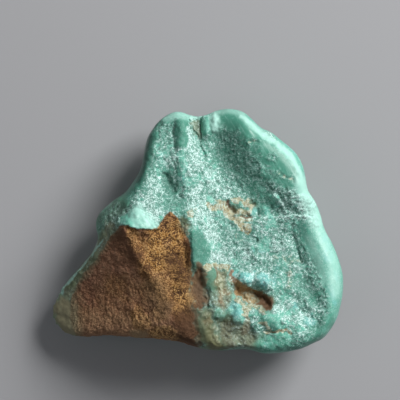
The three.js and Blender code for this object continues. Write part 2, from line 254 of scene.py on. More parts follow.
# Pale, worn crests of the rims and facets that broke clean, with a painted highlight along the
# rims, the wedge and the left-hand edge, and painted light on the inner slope of the lower rim.
WORN_AND_HIGHLIGHT = [
    Stroke([(-5.2, 19.2), (-3.0, 19.8), (-1.4, 19.3)], 0.7, 0.5),
    Stroke([(3.6, 20.2), (5.8, 20.5), (7.6, 19.7)], 0.6, 0.4),
    Stroke([(7.6, 19.3), (9.0, 18.2), (10.6, 16.8), (12.2, 15.6), (13.6, 14.8)], 0.45, 0.8),
    Stroke([(13.8, 14.6), (15.6, 12.8), (17.0, 10.6), (17.8, 8.6)], 0.45, 0.8),
    Stroke([(17.8, 8.4), (18.4, 6.0), (19.4, 3.4), (20.4, 1.4)], 1.2, 0.8),
    Stroke([(21.0, 0.0), (22.2, -3.0), (23.1, -6.2), (23.3, -10.4)], 0.9, 0.55),
    Stroke([(3.1, 19.4), (3.2, 17.4)], 0.75, 1.0),
    Stroke([(-9.6, 3.6), (-8.6, 2.2), (-7.1, 0.6)], 0.8, 0.8),
    Stroke([(-10.3, 3.0), (-9.6, 1.6)], 0.9, 0.55),
    Stroke([(19.4, -1.4), (20.4, -4.6), (21.4, -8.0)], 0.9, 0.3),
    Stroke([(-1.0, 19.4), (1.0, 19.4)], 0.35, 0.8),
    Stroke([(-15.9, -1.7), (-18.2, -4.6), (-20.7, -7.6), (-23.2, -10.7)], 0.16, 0.7),
]

# White, sugary ground.
FROST = [
    Stroke([(-7.6, 7.6), (-7.0, 5.6)], 1.4, 0.5),
    Stroke([(-8.4, 4.6), (-7.2, 2.6)], 1.2, 0.8),
    Stroke([(-0.6, 14.4), (0.6, 11.6), (1.8, 9.4), (3.4, 7.6), (4.6, 6.4)], 1.2, 0.4),
    Stroke([(0.2, 8.0), (0.8, 4.0)], 1.6, 0.6),
    Stroke([(0.4, 2.6), (2.0, 0.6), (3.0, -2.0), (3.6, -4.2), (5.2, -5.6)], 1.0, 0.8),
    Stroke([(-1.5, 19.0), (-1.3, 14.0)], 0.5, 0.9),
    Stroke([(-0.9, 19.4), (1.0, 19.4)], 0.4, 0.9),
    Stroke([(18.0, 4.6), (19.2, 2.2)], 1.4, 1.0),
    Stroke([(18.4, 6.6), (19.2, 5.0)], 0.8, 0.8),
    Stroke([(13.5, 6.0), (14.4, 4.4)], 0.5, 0.9),
    Stroke([(12.8, -1.4), (13.6, -3.2)], 0.7, 0.6),
    Stroke([(7.8, -3.2), (8.6, -4.0)], 0.8, 0.7),
    Stroke([(1.9, -0.8), (2.3, -4.4)], 0.8, 0.9),
    Stroke([(15.0, -9.8), (17.6, -10.9), (19.6, -13.2)], 0.9, 0.4),
    Stroke([(13.4, -13.4), (15.2, -14.6), (17.4, -15.4)], 1.2, 0.7),
    Stroke([(14.6, -11.6), (16.0, -12.8)], 1.2, 0.4),
    Stroke([(17.6, -15.8), (18.0, -17.8)], 0.6, 0.8),
    Stroke([(11.0, 2.2), (14.8, 2.6), (17.4, 2.7)], 0.35, 0.8),
    Stroke([(8.8, -6.6), (9.4, -7.4), (9.2, -8.4)], 0.5, 0.9),
    Stroke([(7.8, -7.4), (8.4, -8.0)], 1.0, 0.6),
    Stroke([(10.6, -6.8), (12.0, -7.4)], 0.4, 0.9),
    Stroke([(5.0, -10.2), (6.2, -10.4)], 0.5, 0.8),
    Stroke([(12.0, 12.5), (13.0, 11.8)], 0.4, 0.6),
    Stroke([(11.8, 16.2), (13.0, 15.0)], 0.9, 0.6),
    Stroke([(10.8, 11.0), (10.9, 8.6)], 0.6, 0.4),
    Stroke([(16.2, -8.8), (16.4, -10.0)], 0.8, 0.3),
]

# Cream and tan crusts.
CRUST = [
    Stroke([(2.4, 4.1), (4.6, 4.4), (5.3, 3.6), (5.9, 2.2), (7.4, 1.2), (8.8, 0.2)], 0.7, 1.0),
    Stroke([(6.6, 5.1), (8.4, 5.0), (9.2, 4.2), (8.8, 3.3), (7.2, 3.0)], 0.6, 0.9),
    Stroke([(6.4, 1.9), (8.4, 1.9)], 0.6, 0.9),
    Stroke([(6.8, -0.7), (7.6, -1.2)], 0.5, 0.5),
    Stroke([(-0.9, 3.4), (-0.6, 2.6)], 0.6, 0.8),
    Stroke([(-1.9, 0.9), (-1.3, -0.4)], 0.5, 0.6),
    Stroke([(1.0, -6.1), (3.2, -5.7), (5.0, -6.1)], 0.55, 0.95),
    Stroke([(4.0, -7.8), (4.6, -8.6), (4.3, -11.6)], 0.7, 0.55),
    Stroke([(6.0, -7.8), (6.3, -9.4)], 0.45, 0.6),
    Stroke([(6.8, -11.6), (7.7, -12.6), (8.6, -13.8), (9.0, -15.2)], 0.5, 0.85),
    Stroke([(8.8, -12.9), (11.3, -13.4)], 0.5, 0.8),
    Stroke([(8.2, -10.8), (9.8, -11.4)], 0.9, 1.0),
    Stroke([(11.0, -15.5), (12.4, -16.3)], 0.4, 0.8),
    Stroke([(11.4, -17.4), (12.6, -16.9), (14.6, -17.0), (15.8, -17.3)], 0.4, 1.0),
    Stroke([(0.4, -13.3), (1.5, -14.2), (2.1, -15.7)], 0.4, 0.45),
    Stroke([(2.4, -15.2), (3.2, -17.5), (3.8, -18.6)], 0.5, 0.45),
    Stroke([(0.0, -12.2), (1.8, -13.4), (2.8, -13.7)], 0.5, 0.4),
    Stroke([(15.4, -5.0), (17.0, -5.0)], 0.8, 0.5),
    Stroke([(15.6, -6.6), (15.8, -9.2)], 0.7, 0.5),
    Stroke([(12.6, -4.2), (13.4, -5.0)], 0.5, 0.4),
    Stroke([(13.9, 10.2), (15.0, 9.0), (16.3, 8.6)], 0.2, 0.6),
    Stroke([(-0.3, 18.2), (0.0, 16.0)], 0.6, 0.35),
    Stroke([(9.3, 14.9), (9.8, 14.8)], 0.3, 0.5),
    Stroke([(6.6, -17.8), (8.8, -18.4)], 0.6, 0.4),
]

# Olive ground between turquoise and brown, and the worn edge of the brown.
OLIVE = [
    Stroke([(-22.6, -12.8), (-22.0, -16.8)], 2.5, 1.0),
    Stroke([(-14.2, 0.4), (-16.6, -2.6), (-19.6, -6.8), (-22.4, -11.2)], 1.3, 0.85),
    Stroke([(-0.8, -6.0), (-0.7, -12.0), (-0.2, -16.0), (0.0, -20.5)], 0.7, 0.6),
    Stroke([(4.2, -8.0), (4.3, -12.0)], 1.4, 0.8),
    Stroke([(2.0, -7.4), (3.0, -8.8)], 1.4, 0.4),
    Stroke([(7.3, -10.2), (9.6, -11.1), (11.5, -12.0)], 1.4, 0.75),
    Stroke([(-10.2, -17.2), (-9.0, -17.4)], 0.9, 0.8),
    Stroke([(-6.8, -9.4), (-5.6, -12.6)], 1.9, 0.35),
    Stroke([(-2.4, 1.6), (-1.8, 0.4)], 0.9, 0.8),
    Stroke([(0.8, -14.8), (1.4, -17.0), (3.2, -19.2)], 1.9, 1.0),
    Stroke([(0.0, 18.0), (0.2, 16.2)], 0.6, 0.6),
    Stroke([(4.6, -15.4), (5.6, -18.6)], 1.6, 0.95),
    Stroke([(6.6, -16.8), (8.6, -18.4)], 1.8, 0.75),
    Stroke([(6.0, 3.6), (6.6, 3.0)], 0.8, 0.8),
    Stroke([(9.4, 4.6)], 0.8, 0.8),
    Stroke([(0.4, -8.2), (1.2, -11.4)], 1.4, 0.7),
    Stroke([(2.8, -10.6), (2.6, -11.6)], 0.9, 0.5),
    Stroke([(-15.4, 2.4), (-13.6, 4.2)], 2.0, 0.35),
]

# Bluer knobs and lumps.
BLUE = [
    Stroke([(8.3, -8.1), (11.2, -8.3)], 1.8, 1.0),
    Stroke([(10.0, -4.4), (11.0, -5.4)], 1.2, 0.8),
    Stroke([(12.6, -18.6), (14.6, -18.6)], 1.8, 0.3),
    Stroke([(6.8, -13.0), (7.0, -14.6)], 1.5, 0.6),
    Stroke([(17.6, -12.8), (19.2, -15.6)], 1.4, 0.4),
]

# Greener turquoise, and greener olive where the two meet. On the scoop, the left-hand wall, the
# crevice, the inner band of the upper rim and the bottom edge the strokes are painted shade,
# darkening the stone where it turns from the key light.
GREEN_AND_SHADE = [
    Stroke([(0.0, -1.6), (0.2, -4.6)], 1.7, 1.0),
    Stroke([(-2.6, 18.4), (-2.6, 15.2)], 1.1, 1.0),
    Stroke([(6.6, 17.6), (8.8, 15.0), (11.6, 12.6), (14.6, 9.4)], 2.2, 1.0),
    Stroke([(2.0, -7.4), (3.2, -9.0)], 1.4, 0.9),
    Stroke([(4.9, -7.1)], 0.9, 0.7),
    Stroke([(7.0, 4.3)], 0.8, 0.8),
    Stroke([(-5.6, 18.6), (-6.2, 16.2)], 1.8, 0.8),
    Stroke([(-8.2, 16.0), (-8.9, 11.4), (-10.0, 8.0), (-12.4, 5.6)], 1.5, 1.0),
    Stroke([(-16.6, 2.4), (-16.4, -1.0), (-19.0, -5.4), (-22.0, -9.2)], 0.9, 0.7),
    Stroke([(5.0, 18.8), (5.2, 14.4), (7.0, 11.6), (8.6, 9.4), (10.4, 7.0)], 2.8, 0.8),
    Stroke([(12.4, 10.4), (13.4, 8.6)], 1.6, 0.6),
    Stroke([(-4.8, 9.2), (-4.2, 6.8)], 0.9, 0.9),
    Stroke([(-4.4, 4.6), (-2.6, 4.4)], 1.1, 0.7),
    Stroke([(-2.6, 3.4), (-2.0, 1.8)], 0.8, 0.8),
    Stroke([(1.6, 18.8), (1.6, 17.0)], 0.8, 0.5),
    Stroke([(3.6, -14.4), (4.8, -14.4)], 0.9, 0.6),
    Stroke([(18.2, -2.6), (20.0, -7.4), (20.8, -12.0), (20.8, -15.0)], 1.4, 0.35),
    Stroke([(11.2, -19.4), (14.4, -18.8)], 1.8, 0.6),
    Stroke([(16.4, -19.2), (19.6, -17.8), (21.8, -15.4)], 1.3, 0.8),
    Stroke([(17.6, -9.2), (20.2, -11.6)], 1.6, 0.7),
    Stroke([(11.6, -14.4), (13.2, -15.6)], 1.4, 0.4),
    Stroke([(0.7, -14.6), (1.4, -17.0), (3.2, -19.2)], 1.8, 0.7),
    Stroke([(10.2, -16.2), (10.2, -17.4)], 1.0, 0.4),
]

# The golden parts of the brown, and the redder ones.
GOLD = [
    Stroke([(-4.4, 2.2), (-5.0, -1.0), (-6.2, -4.2)], 3.4, 1.0),
    Stroke([(-3.0, -4.0), (-2.4, -8.0), (-1.6, -12.6)], 2.2, 1.0),
    Stroke([(-6.6, -17.4), (-3.4, -17.8)], 1.4, 0.8),
    Stroke([(-7.0, -6.6), (-5.0, -10.0)], 2.4, 0.7),
    Stroke([(-8.6, -10.6), (-6.4, -12.6)], 2.4, 0.45),
    Stroke([(-13.4, -9.6), (-9.6, -10.8)], 2.4, 0.35),
    Stroke([(-10.6, -0.2), (-8.6, -3.6)], 1.3, 0.7),
    Stroke([(-9.8, -13.6), (-8.8, -15.4)], 1.4, 0.6),
    Stroke([(7.2, -10.2), (9.8, -11.3)], 1.4, 0.6),
    Stroke([(-18.0, -13.6), (-10.0, -15.6)], 4.0, 0.2),
]
RED = [
    Stroke([(-10.4, -9.6), (-8.4, -12.0)], 1.6, 0.5),
    Stroke([(-4.4, 2.4), (-5.2, 1.4)], 1.0, 0.6),
    Stroke([(-17.6, -16.6), (-12.0, -17.2)], 1.3, 0.8),
    Stroke([(-19.0, -8.0), (-18.4, -12.0)], 1.4, 0.6),
    Stroke([(-2.6, -13.8), (-3.2, -16.6)], 1.4, 0.2),
]

# Painted shade on the turquoise and the brown: walls, crevices, the pocket's far end and faces that
# turn from the key light are drawn darker, and a few broad strokes darken whole areas a little.
PAINTED_SHADE = [
    Stroke([(-8.0, 15.6), (-8.7, 12.0), (-9.5, 9.0)], 1.1, 1.0),
    Stroke([(5.4, 16.0), (5.4, 12.8), (7.2, 10.6)], 2.4, 0.35),
    Stroke([(-15.4, 2.4), (-12.6, 3.6)], 1.9, 0.3),
    Stroke([(-4.9, 9.4), (-4.2, 6.8)], 0.8, 0.5),
    Stroke([(18.6, -9.2), (20.0, -11.0)], 1.2, 0.2),
    Stroke([(-1.3, -2.4), (-1.2, -5.2)], 0.9, 0.7),
    Stroke([(-3.8, -4.8), (-1.4, -7.8)], 1.8, 0.9),
    Stroke([(-1.2, -14.2), (-1.6, -18.4)], 2.4, 1.0),
    Stroke([(-13.4, -0.8), (-11.0, -4.4)], 1.5, 0.65),
    Stroke([(-4.6, 2.6), (-4.8, 0.8)], 0.9, 0.4),
    Stroke([(10.9, -11.7), (11.8, -12.5)], 1.1, 1.0),
    Stroke([(0.3, -6.6), (0.3, -9.4), (0.6, -12.4)], 1.2, 0.85),
    Stroke([(4.4, -15.4), (5.6, -18.4)], 1.5, 0.35),
    Stroke([(-6.6, 19.2), (-7.8, 17.6), (-8.5, 15.0)], 1.0, 0.35),
    Stroke([(0.2, -1.0), (0.3, -4.4)], 1.3, 0.4),
    Stroke([(6.0, -3.2), (14.0, -3.6)], 4.0, 0.16),
    Stroke([(-7.2, -10.8), (-4.4, -12.4)], 1.8, 0.3),
    Stroke([(-2.7, 17.8), (-2.7, 15.0)], 1.0, 0.15),
    Stroke([(10.8, -7.8), (11.6, -8.6)], 1.2, 0.2),
]

# Lighter parts of the brown: a paler tone in places, and painted light on the bottom edge, the
# pocket and the tip, where they lie in shade.
PALER_BROWN_AND_PAINTED_LIGHT = [
    Stroke([(-6.6, -17.2), (-3.4, -17.6)], 1.5, 1.0),
    Stroke([(-18.0, -16.0), (-8.0, -16.2)], 2.3, 0.75),
    Stroke([(-10.4, -9.0), (-8.4, -12.0)], 1.8, 0.25),
    Stroke([(7.2, -10.2), (9.8, -11.2)], 1.4, 1.0),
    Stroke([(-2.2, -10.0), (-1.8, -12.4)], 1.0, 0.4),
    Stroke([(-22.8, -13.0), (-22.4, -15.6)], 1.8, 0.35),
]

# Brown pits and crevices in the turquoise.
PITS = [
    Stroke([(7.3, -10.2), (9.6, -11.1), (11.5, -12.0)], 1.2, 0.9),
    Stroke([(6.8, -9.3), (7.2, -10.4)], 0.7, 0.9),
    Stroke([(11.9, -17.3)], 0.4, 0.9),
    Stroke([(0.3, -5.6), (-0.2, -7.4)], 0.7, 0.55),
    Stroke([(0.0, -7.6), (0.4, -10.0), (0.4, -12.2)], 1.2, 0.8),
    Stroke([(-0.6, -11.0), (-0.1, -15.0), (0.0, -20.5)], 0.8, 0.5),
    Stroke([(1.3, -7.0), (1.6, -9.6), (1.5, -11.8)], 0.5, 0.5),
    Stroke([(4.2, -10.2), (4.3, -11.8)], 0.6, 0.7),
    Stroke([(1.8, -15.2)], 0.5, 0.7),
    Stroke([(5.3, 4.8), (6.4, 3.0)], 0.45, 0.6),
    Stroke([(7.8, 2.5), (8.8, 2.5)], 0.4, 0.6),
    Stroke([(8.6, -15.4), (8.0, -17.4)], 0.6, 0.4),
    Stroke([(15.6, -7.2)], 0.4, 0.7),
    Stroke([(3.3, -5.4), (3.8, -9.2)], 0.3, 0.5),
    Stroke([(6.0, -7.0), (6.6, -9.0)], 0.35, 0.6),
]

# ---------------------------------------------------------------------------------------------
# Settings that a user would change.


class StoneSettings(bpy.types.PropertyGroup):
    """Sizes and colours of the stone."""

    face_size: FloatProperty(
        name="Face Size", description="Width of the even faces the stone is cut into",
        default=0.0005, min=0.0002, precision=5, unit="LENGTH")
    grain_height: FloatProperty(
        name="Grain Height", description="How far the sugary grains stand out",
        default=0.00011, min=0.0, precision=5, unit="LENGTH")
    lump_height: FloatProperty(
        name="Lump Height", description="How far the broken lumps stand out",
        default=0.00042, min=0.0, precision=5, unit="LENGTH")
    patch_height: FloatProperty(
        name="Patch Height", description="How far the smooth patches stand over the sugary ground",
        default=0.0001, min=0.0, precision=5, unit="LENGTH")
    grit_height: FloatProperty(
        name="Grit Height", description="How far the grains of the brown matrix stand out",
        default=0.00017, min=0.0, precision=5, unit="LENGTH")
    turquoise: FloatVectorProperty(
        name="Turquoise", description="Colour of sound turquoise",
        default=(0.115, 0.40, 0.30), subtype="COLOR", size=3, min=0.0, max=1.0)
    mint: FloatVectorProperty(
        name="Mint", description="Colour of the paler, worn turquoise",
        default=(0.25, 0.58, 0.47), subtype="COLOR", size=3, min=0.0, max=1.0)
    blue: FloatVectorProperty(
        name="Blue Turquoise", description="Colour of the bluer turquoise",
        default=(0.15, 0.46, 0.43), subtype="COLOR", size=3, min=0.0, max=1.0)
    # Greener turquoise, made darker so that it also serves as painted shade.
    green: FloatVectorProperty(
        name="Green Turquoise", description="Colour of the greener turquoise",
        default=(0.055, 0.235, 0.165), subtype="COLOR", size=3, min=0.0, max=1.0)
    # Also the colour of the painted highlight along the rims and the wedge.
    pale: FloatVectorProperty(
        name="Pale Turquoise", description="Colour of the worn crests of the rims",
        default=(0.42, 0.73, 0.63), subtype="COLOR", size=3, min=0.0, max=1.0)
    # The colour of the painted shade on the turquoise.
    shade: FloatVectorProperty(
        name="Shade", description="Colour of the darkest turquoise",
        default=(0.02, 0.075, 0.055), subtype="COLOR", size=3, min=0.0, max=1.0)
    # The colour of the painted shade in the gaps between the grains.
    deep: FloatVectorProperty(
        name="Deep", description="Colour of the gaps between the sugary grains",
        default=(0.095, 0.26, 0.20), subtype="COLOR", size=3, min=0.0, max=1.0)
    ground: FloatVectorProperty(
        name="Ground", description="Colour of the sugary ground between the sound patches",
        default=(0.14, 0.36, 0.29), subtype="COLOR", size=3, min=0.0, max=1.0)
    # Also the colour of the painted highlight on the crests of the grain.
    frost: FloatVectorProperty(
        name="Frost", description="Colour of the white dust of the broken grains",
        default=(0.67, 0.87, 0.82), subtype="COLOR", size=3, min=0.0, max=1.0)
    brown: FloatVectorProperty(
        name="Brown", description="Colour of the golden brown matrix",
        default=(0.315, 0.138, 0.018), subtype="COLOR", size=3, min=0.0, max=1.0)
    umber: FloatVectorProperty(
        name="Umber", description="Colour of the duller brown matrix",
        default=(0.285, 0.14, 0.08), subtype="COLOR", size=3, min=0.0, max=1.0)
    haze: FloatVectorProperty(
        name="Haze", description="Colour of the paler film on the duller brown",
        default=(0.40, 0.25, 0.145), subtype="COLOR", size=3, min=0.0, max=1.0)
    rust: FloatVectorProperty(
        name="Rust", description="Colour of the redder brown matrix",
        default=(0.23, 0.095, 0.058), subtype="COLOR", size=3, min=0.0, max=1.0)
    # Also the colour of the painted shade on the brown and in the hollows of its grit.
    chocolate: FloatVectorProperty(
        name="Chocolate", description="Colour of the pits of the brown matrix",
        default=(0.08, 0.037, 0.015), subtype="COLOR", size=3, min=0.0, max=1.0)
    # Also the colour of the painted highlight on the grit's crests and of the painted light on the
    # brown.
    tan: FloatVectorProperty(
        name="Tan", description="Colour of the crests of the brown matrix",
        default=(0.53, 0.32, 0.125), subtype="COLOR", size=3, min=0.0, max=1.0)
    olive: FloatVectorProperty(
        name="Olive", description="Colour of the olive stone between turquoise and brown",
        default=(0.20, 0.185, 0.11), subtype="COLOR", size=3, min=0.0, max=1.0)
    moss: FloatVectorProperty(
        name="Moss", description="Colour of the greener olive stone",
        default=(0.12, 0.135, 0.06), subtype="COLOR", size=3, min=0.0, max=1.0)
    straw: FloatVectorProperty(
        name="Straw", description="Colour of the hollows of the crusts",
        default=(0.36, 0.26, 0.115), subtype="COLOR", size=3, min=0.0, max=1.0)
    cream: FloatVectorProperty(
        name="Cream", description="Colour of the crusts",
        default=(0.50, 0.54, 0.40), subtype="COLOR", size=3, min=0.0, max=1.0)


class StudioSettings(bpy.types.PropertyGroup):
    """The floor, the lights and the camera."""

    floor_size: FloatProperty(
        name="Floor Size", description="Width of the floor",
        default=4.0, min=0.5, unit="LENGTH")
    floor_colour: FloatVectorProperty(
        name="Floor Colour", description="Colour of the floor",
        default=(0.355, 0.355, 0.365), subtype="COLOR", size=3, min=0.0, max=1.0)
    view_width: FloatProperty(
        name="View Width", description="Width of what the camera sees at the stone's waist",
        default=0.0682, min=0.01, precision=4, unit="LENGTH")
    lens: FloatProperty(
        name="Lens", description="Focal length in millimetres",
        default=200.0, min=20.0)
    key_turn: FloatProperty(
        name="Key Turn", description="Where the main light stands, in degrees round from +X",
        default=42.0)
    key_height: FloatProperty(
        name="Key Height", description="How high the main light stands, in degrees",
        default=36.0, min=5.0, max=90.0)
    key_size: FloatProperty(
        name="Key Size", description="Width of the main light",
        default=0.3, min=0.01, unit="LENGTH")
    key_power: FloatProperty(
        name="Key Power", description="Power of the main light in watts",
        default=5.15, min=0.0)
    fill_power: FloatProperty(
        name="Fill Power", description="Power of the fill light in watts",
        default=0.4, min=0.0)
    sky: FloatProperty(
        name="Sky", description="Strength of the light from all round",
        default=0.16, min=0.0)


# ---------------------------------------------------------------------------------------------
# Measures over the stone's points.


def eased(share):
    """0 below 0, 1 above 1, and a smooth climb between them."""
    share = np.clip(share, 0.0, 1.0)
    return share * share * (3.0 - 2.0 * share)


def path_distance(points, path):
    """Distance from each point to a line through the corners of a path, seen from above."""
    nearest = np.hypot(points[:, 0] - path[0][0], points[:, 1] - path[0][1])
    for start, end in zip(path[:-1], path[1:]):
        start = np.array(start)
        run = np.array(end) - start
        share = np.clip((points - start) @ run / (run @ run), 0.0, 1.0)
        gap = points - start - share[:, None] * run
        nearest = np.minimum(nearest, np.hypot(gap[:, 0], gap[:, 1]))
    return nearest


def scarp_rise(points, scarp):
    """Height that a broken edge adds at each point."""
    nearest = np.full(len(points), np.inf)
    side = np.zeros(len(points))
    beyond = np.zeros(len(points))
    path = scarp.path
    for number, (start, end) in enumerate(zip(path[:-1], path[1:])):
        start = np.array(start)
        run = np.array(end) - start
        along = (points - start) @ run / (run @ run)
        share = np.clip(along, 0.0, 1.0)
        gap = points - start - share[:, None] * run
        distance = np.hypot(gap[:, 0], gap[:, 1])
        closer = distance < nearest
        nearest = np.where(closer, distance, nearest)
        turned = (run[1] * gap[:, 0] - run[0] * gap[:, 1]) / np.hypot(*run)
        side = np.where(closer, turned, side)
        past = np.abs(along - share) * np.hypot(*run)
        ends = (number == 0) | (number == len(path) - 2)
        beyond = np.where(closer, past * ends, beyond)
    step = eased(side / 0.25 + 0.5) * eased(1.0 - side / scarp.reach)
    return scarp.rise * step * eased(1.0 - beyond / (scarp.reach * 0.5))


def depth_inside(points, corners):
    """How far inside a closed outline each point is, and negative outside it."""
    inside = np.zeros(len(points), bool)
    x, y = points[:, 0], points[:, 1]
    for (x0, y0), (x1, y1) in zip(corners, corners[1:] + corners[:1]):
        if y0 != y1:
            crosses = (y0 > y) != (y1 > y)
            inside ^= crosses & (x < (x1 - x0) * (y - y0) / (y1 - y0) + x0)
    distance = path_distance(points, corners + corners[:1])
    return np.where(inside, distance, -distance)


def painted(points, strokes, edge=0.5, ragged=0.0):
    """The strongest of several strokes at each point. The edge is a share of the half width."""
    mask = np.zeros(len(points))
    for stroke in strokes:
        share = path_distance(points, stroke.path) / stroke.half + ragged
        mask = np.maximum(mask, stroke.strength * eased((1.0 + edge / 2 - share) / edge))
    return mask


def seeded(points, size, seed):
    """The points in units of this size, moved to a part of the noise that no other seed uses."""
    return points / size + np.array((seed * 7.31, seed * 3.17, seed * 5.73))


def lumpy(points, size, seed, octaves=1.0):
    """Noise from about -1 to 1 with lumps of about this size, and finer ones in more octaves."""
    places = seeded(points, size, seed)
    if octaves == 1.0:
        return np.array([noise.noise(Vector(p)) for p in places]) * 1.6
    return np.array([noise.fractal(Vector(p), 0.8, 2.1, octaves) for p in places]) * 1.2


def chipped(points, size, seed):
    """Flat chips of about this size, each tilted its own way, from about -1 to 1."""
    heights = np.empty(len(points))
    for number, place in enumerate(seeded(points, size, seed)):
        place = Vector(place)
        middle = noise.voronoi(place)[1][0]
        tilt = noise.cell_vector(middle * 9.7) - Vector((0.5, 0.5, 0.5))
        heights[number] = (place - middle).dot(tilt) * 2.4
    return heights


def read_points(mesh):
    """The mesh's points in millimetres, and their normals."""
    points = np.empty(len(mesh.vertices) * 3)
    normals = np.empty(len(mesh.vertices) * 3)
    mesh.vertices.foreach_get("co", points)
    mesh.vertices.foreach_get("normal", normals)
    return points.reshape(-1, 3) / MM, normals.reshape(-1, 3)


def write_points(mesh, points):
    """Moves the mesh's points to these places in millimetres."""
    mesh.vertices.foreach_set("co", (points * MM).ravel())
    mesh.update()


def store(mesh, name, values):
    """Keeps one number for each point as an attribute that the material reads."""
    attribute = mesh.attributes.new(name, "FLOAT", "POINT")
    attribute.data.foreach_set("value", np.ascontiguousarray(values, dtype=np.float32))


# ---------------------------------------------------------------------------------------------
# The stone.


def only(piece):
    """Selects this object and no other."""
    bpy.ops.object.select_all(action="DESELECT")
    piece.select_set(True)
    bpy.context.view_layer.objects.active = piece


def finish_modifier(piece, kind, **values):
    """Adds a modifier with these values to the active object, and applies it."""
    modifier = piece.modifiers.new(kind.title(), kind)
    for name, value in values.items():
        setattr(modifier, name, value)
    bpy.ops.object.modifier_apply(modifier=modifier.name)


def even_stone(settings):
    """A welded copy of the solid, cut into even faces, finer where it faces up."""
    stone = bpy.data.objects.new("turquoise_stone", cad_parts[NODE].data.copy())
    bpy.context.collection.objects.link(stone)
    stone.data.materials.clear()
    only(stone)
    bpy.ops.object.mode_set(mode="EDIT")
    bpy.ops.mesh.select_all(action="SELECT")
    bpy.ops.mesh.remove_doubles(threshold=WELD)
    bpy.ops.object.mode_set(mode="OBJECT")
    finish_modifier(stone, "REMESH", mode="VOXEL", voxel_size=settings.face_size)
    finish_modifier(stone, "SMOOTH", factor=SMOOTHING, iterations=SMOOTH_STEPS)
    select_front(stone.data)
    bpy.ops.object.mode_set(mode="EDIT")
    bpy.ops.mesh.subdivide(number_cuts=FRONT_CUTS, smoothness=FRONT_ROUNDING)
    bpy.ops.object.mode_set(mode="OBJECT")
    return stone


def select_front(mesh):
    """Selects the faces that look up, with their points and edges."""
    bpy.context.tool_settings.mesh_select_mode = (False, False, True)
    normals = np.empty(len(mesh.polygons) * 3)
    mesh.polygons.foreach_get("normal", normals)
    up = normals.reshape(-1, 3)[:, 2] > FRONT_LEAN
    mesh.polygons.foreach_set("select", up)
    chosen = set()
    for polygon in mesh.polygons:
        if polygon.select:
            chosen.update(polygon.vertices)
    mesh.vertices.foreach_set("select", [i in chosen for i in range(len(mesh.vertices))])
    mesh.edges.foreach_set("select", [e.vertices[0] in chosen and e.vertices[1] in chosen
                                      for e in mesh.edges])


def carve(mesh, settings):
    """Moves the points to the stone's finer relief, and stores what each surface is and where
    shade, highlights and light are painted.
    """
    points, normals = read_points(mesh)
    facing = normals[:, 2]
    front = eased((facing + 0.1) / 0.4)

    # Borders wander a little everywhere, and drift further on the sides.
    wander = np.stack([lumpy(points, 1.8, seed, 3.0) for seed in (1, 3)], 1)
    drift = np.stack([lumpy(points, 4.5, seed, 2.0) for seed in (33, 35)], 1)
    drift *= 2.2 * (1.0 - front)[:, None]
    near = points[:, :2] + wander * 0.25 + drift
    mild = points[:, :2] + wander * 0.4 + drift
    loose = points[:, :2] + wander * 0.6 + drift
    ragged = lumpy(points, 1.2, 2, 2.0) * 0.25
    green = painted(loose, GREEN_AND_SHADE, 1.2)

    for scarp in SCARPS:
        points[:, 2] += scarp_rise(near, scarp) * front
    for stroke in RELIEF:
        share = path_distance(near, stroke.path) / stroke.half + ragged
        points[:, 2] += stroke.strength * eased(1.0 - share) * front

    brown = eased(depth_inside(near, BROWN) / 0.6 + 0.5) * eased((facing + 0.45) / 0.3 + ragged)
    edge = 1.0 - eased((facing - 0.05) / 0.35)
    rims = np.maximum(depth_inside(near, UPPER_RIND), depth_inside(near, LOWER_RIND))
    rind = eased(rims / 1.4 + 0.5) * (1.0 - painted(loose, CHIPS, 0.9, ragged))
    wedge = depth_inside(near * 0.4 + points[:, :2] * 0.6, WEDGE)
    rind = np.maximum(rind, eased(wedge / 0.3 + 0.5))
    rind = np.maximum(rind, edge) * (1.0 - brown)
    patch = eased((lumpy(points, 2.2, 21, 3.0) - 0.1) / 0.7)
    patch = np.maximum(patch * 0.8, painted(mild, SMOOTH, 0.7, ragged)) * (1.0 - brown)
    crust = painted(loose, CRUST, 0.9, ragged * 2.0) * front * (1.0 - brown)
    patch *= 1.0 - crust
    smooth = np.maximum(rind, patch)

    # Grains and chips on the rough ground, low lumps on the patches, grit on the brown.
    grain = lumpy(points, 0.4, 6, 2.0)
    chips = chipped(points, 1.6, 7) * 0.4 + chipped(points, 0.8, 13) * 0.6
    lumps = lumpy(points, 2.4, 8, 3.0)
    grit = lumpy(points, 0.38, 10, 2.0) * 0.7 + lumpy(points, 1.4, 11, 3.0) * 0.6
    rough = (1.0 - 0.9 * smooth) * (1.0 - brown) * (1.0 - 0.4 * green)
    broken = (lumps * 0.6 + chips) * 0.6 * settings.lump_height
    out = rough * (grain * settings.grain_height + broken)
    out += patch * (1.0 - rind) * (settings.patch_height + lumps * 0.4 * settings.lump_height)
    out += brown * (grit * settings.grit_height + lumps * 0.2 * settings.lump_height)
    points += normals * (out / MM + rind * lumpy(points, 3.0, 12) * 0.08)[:, None]

    write_points(mesh, points)
    for name, values in {
            "brown": brown, "rind": rind, "patch": patch, "crust": crust,
            "olive": painted(loose, OLIVE, 1.2) * eased((facing + 1.0) / 0.3),
            "frost": painted(loose, FROST, 1.4, ragged) * front,
            "blue": painted(loose, BLUE, 0.8),
            # Greener turquoise, and painted shade where the stone turns from the key light.
            "green": green,
            # Painted shade, weaker on the sides.
            "painted_shade": painted(loose, PAINTED_SHADE, 1.2) * (0.25 + 0.75 * front),
            # Paler brown, and painted light in shaded places.
            "light": painted(loose, PALER_BROWN_AND_PAINTED_LIGHT, 1.2),
            # Worn crests, and a painted highlight along the rims and the wedge.
            "worn": painted(near, WORN_AND_HIGHLIGHT, 1.5) * (1.0 - brown) * front,
            "gold": painted(loose, GOLD, 1.0),
            "red": painted(loose, RED, 1.0, ragged),
            "pit": painted(loose, PITS, 0.8, ragged * 1.5) * front * (1.0 - brown),
            "grain": eased(grain * 0.5 + 0.5),
            "grit": eased(grit * 0.5 + 0.5)}.items():
        store(mesh, name, values)


